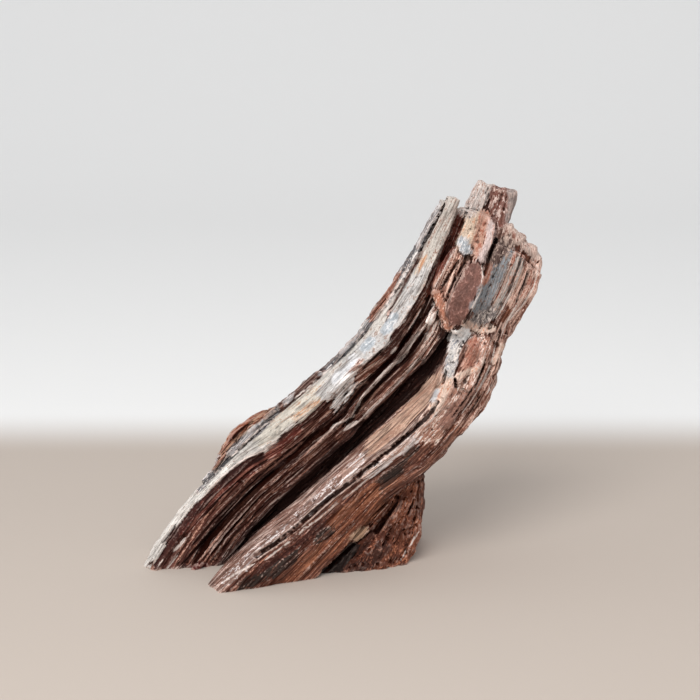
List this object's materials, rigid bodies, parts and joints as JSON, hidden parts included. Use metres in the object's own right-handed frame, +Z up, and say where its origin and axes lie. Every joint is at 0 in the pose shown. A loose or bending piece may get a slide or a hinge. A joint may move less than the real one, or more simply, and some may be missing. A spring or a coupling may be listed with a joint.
{
  "type": "wood stone",
  "caption": "Leaning aquascape rock in fused, grooved layers that look like weathered timber, with a deep open groove and flat feet.",
  "frame": {"origin": "centre of the stone's box, at the level of its feet", "axes": "+Z up, +X towards the side that the stone leans to, -Y the deeply grooved face"},
  "size_m": [0.2048, 0.0858, 0.199],
  "materials": {
    "rock": "rough, layered, with a dull gloss on the worn ridges"
  },
  "bodies": {
    "root": {"wood_stone": "rock"}
  },
  "joints": []
}
